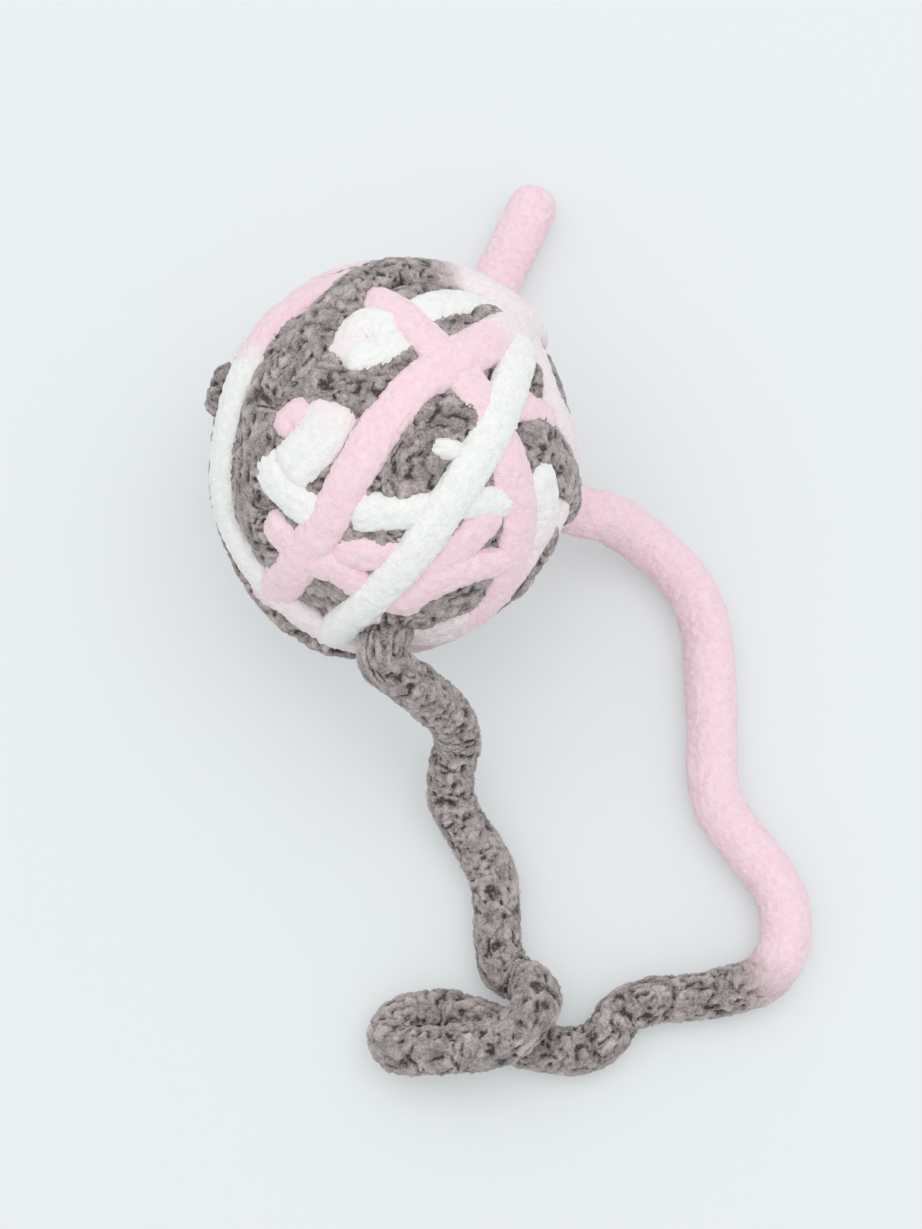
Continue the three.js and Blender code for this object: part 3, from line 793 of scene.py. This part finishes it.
def add_loop(material):
    free = PINK_ROUTE + CHANGE_ROUTE + LOW_ROUTE + TANGLE_ROUTE + RISE_ROUTE
    way, stops = smooth_way(LOOP_ROOT + free + LOOP_HEAD)
    change = stops[len(LOOP_ROOT) + len(PINK_ROUTE)]
    brown = smooth_step(run_lengths(way), change - LOOP_FADE, change + LOOP_FADE)
    diameters = PINK_DIAMETER + (BROWN_DIAMETER - PINK_DIAMETER) * brown
    loop, path = add_free_yarn("loose_loop", way, diameters, brown, *LOOP_MESH, LOOP_SEED)
    finish_piece(loop, material, slot="yarn_brown")
    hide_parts("tail_pink", "tail_brown_low", "tail_tangle", "tail_brown_rise")


def add_end(material):
    way, _ = smooth_way(END_ROUTE)
    diameters = np.full(len(way), PINK_DIAMETER)
    brown = np.zeros(len(way))
    end, path = add_free_yarn("loose_end_yarn", way, diameters, brown, *END_MESH, END_SEED)
    finish_piece(end, material, slot="yarn_pink")
    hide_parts("loose_end")


# Turns on the ball

def view_axes():
    """The directions to the right, upwards and towards the camera as seen from the ball."""
    towards = Vector(CAMERA_PLACE) - Vector(BALL_CENTRE)
    towards.normalize()
    right = Vector((0, 1, 0)).cross(towards).normalized()
    return np.array(right), np.array(towards.cross(right)), np.array(towards)


def seen_direction(across, up):
    """The direction from the ball's centre to a place on it, as shares of its outline in view.

    A place outside the outline lies behind it, the farther out the farther behind.
    """
    right, upward, towards = view_axes()
    distance = np.linalg.norm(np.array(CAMERA_PLACE) - BALL_CENTRE) / BALL_RADIUS
    far = math.hypot(across, up)
    seen = min(far, FRONT_SHARE)
    turned = math.asin(seen) - seen * math.asin(1 / distance) + PAST_OUTLINE * max(far - 1, 0)
    sideways = unit(right * across + upward * up)
    return sideways * math.sin(turned) + towards * math.cos(turned)


def run_on(first, second, third, degrees):
    """Directions past the third of three places, on the circle through them."""
    pole = unit(np.cross(second - first, third - second))
    lift = third @ pole
    start = third - pole * lift
    across = np.cross(pole, start)
    turned = np.radians(np.arange(RUN_ON_STEP, degrees + RUN_ON_STEP, RUN_ON_STEP))[:, None]
    return list(pole * lift + start * np.cos(turned) + across * np.sin(turned))


def turn_way(places, before, after):
    """Directions from the ball's centre along a turn, and which of them are at its places."""
    seen = [seen_direction(*place) for place in places]
    lead = run_on(seen[2], seen[1], seen[0], before)
    tail = run_on(seen[-3], seen[-2], seen[-1], after)
    directions = unit(smooth_way(lead[::-1] + seen + tail)[0])
    return directions, [(len(lead) + number) * CURVE_STEPS for number in range(len(places))]


def ring(pole, start, lean, turned):
    """Directions round a pole at a lean from it, at each angle from a start."""
    circle = start * np.cos(turned) + np.cross(pole, start) * np.sin(turned)
    return pole * math.cos(lean) + circle * math.sin(lean)


def far_way(pole_lean, pole_way, lean, begin):
    """Directions once round a turn of the far side and a little on, and where its dives end."""
    right, upward, towards = view_axes()
    leant = right * math.cos(pole_way) + upward * math.sin(pole_way)
    pole = leant * math.sin(pole_lean) - towards * math.cos(pole_lean)
    turned = begin + np.radians(np.arange(360 + FAR_OVERLAP))[:, None]
    directions = ring(pole, unit(np.cross(pole, upward)), lean, turned)
    return directions, [FAR_DIVE, len(directions) - 1 - FAR_DIVE]


def dye_shares(dyes, lengths, stops):
    """How brown and how white a turn is along its length."""
    shares = [np.full(len(lengths), float(share)) for share in DYES[dyes[0]]]
    for number, dye in zip(dyes[1::2], dyes[2::2]):
        change = np.interp(number, range(len(stops)), lengths[stops])
        past = smooth_step(lengths, change - DYE_FADE, change + DYE_FADE)
        shares = [a + (b - a) * past for a, b in zip(shares, DYES[dye])]
    return shares


def main_slot(brown, white):
    """The slot of the dye that most of a turn has."""
    if brown.mean() > BROWN_ENOUGH:
        return "yarn_brown"
    if white.mean() > WHITE_ENOUGH:
        return "yarn_white"
    return "yarn_pink"


def spread(values, lengths, stops):
    """One value, or several that follow one another evenly over the places, all along a turn."""
    values = np.atleast_1d(values)
    counts = np.linspace(0, len(stops) - 1, len(values))
    return np.interp(lengths, np.interp(counts, range(len(stops)), lengths[stops]), values)


def add_turn(name, dyes, crown, width, route, material, seed, fineness=1):
    """A turn along a route: directions from the ball's centre, and which of them are its places."""
    directions, stops = route
    lengths = run_lengths(directions * BALL_RADIUS)
    wandering = directions * WANDERS_TO_RADIUS + seed
    rise = spread(crown, lengths, stops) * MM - TURN_THICKNESS / 2
    rise = rise + RISE_WANDER * MM * soft_noise(wandering, seed)
    start = min(lengths[stops[0]], LONGEST_DIVE)
    end = min(lengths[-1] - lengths[stops[-1]], LONGEST_DIVE)
    if start:
        rise = rise - END_DIVE * (1 - smooth_step(lengths, 0, start))
    if end:
        rise = rise - END_DIVE * smooth_step(lengths, lengths[-1] - end, lengths[-1])
    way = BALL_CENTRE + directions * rise[:, None] * BALL_STRETCH
    up = unit(directions / BALL_STRETCH)
    widths = spread(width, lengths, stops) * MM
    widths = widths * (1 + WIDTH_WANDER_SHARE * soft_noise(wandering + WIDTH_SHIFT, seed))
    heights = np.full(len(way), TURN_THICKNESS)
    brown, white = dye_shares(dyes, lengths, stops)
    step, sides = BROWN_TURN_MESH if brown.any() else PALE_TURN_MESH
    strand = add_strand(
        "turn_" + name, way, up, widths, heights, brown, white, step / fineness,
        round(sides * fineness), TURN_FORM, seed,
        resting=RESTING_HEIGHT + RESTING_SHARE * (HIGHEST_CROWN - np.max(crown)) * MM,
    )
    seen = slice(stops[0], stops[-1])
    finish_piece(strand, material, slot=main_slot(brown[seen], white[seen]))
    return strand


def add_far_turns(material):
    for number, (dyes, crown, width, *angles) in enumerate(FAR_TURNS):
        route = far_way(*np.radians([*angles, number * FAR_STAGGER]))
        name = f"far_{number + 1}"
        add_turn(name, dyes, crown, width, route, material, FAR_SEED + number, FAR_FINENESS)


def add_bed_turns(material):
    """The lowest turns that show: rings of brown yarn side by side."""
    pole = seen_direction(*BED_POLE)
    start = unit(np.cross(pole, (0, 0, 1)))
    turned = np.linspace(0, 2 * math.pi, BED_STEPS)[:, None]
    for number in range(BED_TURNS):
        directions = ring(pole, start, math.pi * (number + 0.5) / BED_TURNS, turned)
        route = (directions, [0, len(directions) - 1])
        name = f"bed_{number + 1}"
        add_turn(name, ("brown",), BED_CROWN, BED_WIDTH, route, material, RING_SEED + number)


def add_bed(material):
    """The brown yarn under the turns: a hollow ball round the core."""
    shell = bmesh.new()
    bmesh.ops.create_icosphere(shell, subdivisions=5, radius=1)
    mesh = bpy.data.meshes.new("bed_of_yarn")
    shell.to_mesh(mesh)
    shell.free()
    directions = read_places(mesh)
    spots = directions * BED_PATTERN_RADIUS
    curls, tone = curly_pile(spots, BED_SEED)
    lumps = soft_noise(spots / BED_LUMP_SIZE, BED_LUMP_SEED)
    radius = BED_RADIUS + BED_CURL_DEPTH * (curls - 1) + BED_LUMP_DEPTH * lumps
    places = BALL_CENTRE + directions * (radius * MM)[:, None] * BALL_STRETCH
    brown = np.ones(len(directions))
    # The curls also give the pile value that paints shade into the bed's creases.
    set_shape(mesh, places, {"brown": brown, "white": 1 - brown, "pile": curls, "tone": tone})
    bed = add_piece("bed_of_yarn", mesh)
    finish_piece(bed, material, slot="yarn_brown")
    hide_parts("yarn_bed", "winding_inner")


# The stage

def add_stage():
    floor_mesh = bmesh.new()
    bmesh.ops.create_grid(floor_mesh, x_segments=1, y_segments=1, size=FLOOR_REACH)
    mesh = bpy.data.meshes.new("floor")
    floor_mesh.to_mesh(mesh)
    floor_mesh.free()
    floor = add_piece("floor", mesh)
    finish = Finish("floor", base_color=FLOOR_COLOUR, roughness=0.9)
    finish.shader.inputs["Specular IOR Level"].default_value = 0.1
    glow = finish.node("ShaderNodeEmission", {}, {"Color": GLOW_COLOUR})
    seen = finish.node("ShaderNodeLightPath", {}, {}, "Is Camera Ray")
    mirrored = finish.node("ShaderNodeLightPath", {}, {}, "Is Glossy Ray")
    through = finish.node("ShaderNodeLightPath", {}, {}, "Is Transmission Ray")
    share = GLOW_SHARE * (seen + mirrored + through)
    lit = Link(finish, finish.shader.outputs[0])
    mixed = finish.node("ShaderNodeMixShader", {}, {0: share, 1: lit, 2: glow})
    finish.feed(finish.tree.nodes["Material Output"].inputs["Surface"], mixed)
    mesh.materials.append(finish.material)


def add_lamp(name, place, power):
    """A square lamp that shines at the foot of the ball."""
    data = bpy.data.lights.new(name, "AREA")
    data.shape = "SQUARE"
    data.size = LAMP_SIZE
    data.energy = power
    lamp = bpy.data.objects.new(name, data)
    lamp.location = place
    lamp.rotation_euler = (-Vector(place)).to_track_quat("-Z", "Y").to_euler()
    bpy.context.scene.collection.objects.link(lamp)


def add_light():
    world = bpy.data.worlds.new("studio")
    world.use_nodes = True
    backdrop = world.node_tree.nodes["Background"]
    backdrop.inputs["Color"].default_value = BACKDROP_COLOUR
    backdrop.inputs["Strength"].default_value = BACKDROP_STRENGTH
    bpy.context.scene.world = world
    for name, (place, power) in LAMPS.items():
        add_lamp(name, place, power)
    bpy.context.scene.view_settings.view_transform = "Standard"


add_camera()
yarn = chenille()
add_loop(yarn)
add_end(yarn)
for number, (name, (dyes, crown, width, places, before, after)) in enumerate(TURNS.items()):
    route = turn_way(places, before, after)
    made = add_turn(name, dyes, crown, width, route, yarn, TURN_SEED + number)
    if name == "pink_top":
        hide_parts("winding_outer")
    if name == "white_top":
        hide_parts("winding_middle")
add_far_turns(yarn)
add_bed_turns(yarn)
add_bed(yarn)
for node in ("core_shell_lower", "core_shell_upper"):
    finish_piece(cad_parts[node], moulded_plastic())
for node in ("bell_shell", "bell_eye"):
    finish_piece(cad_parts[node], stamped_brass())
finish_piece(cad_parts["bell_pellet"], tumbled_steel())
add_stage()
add_light()
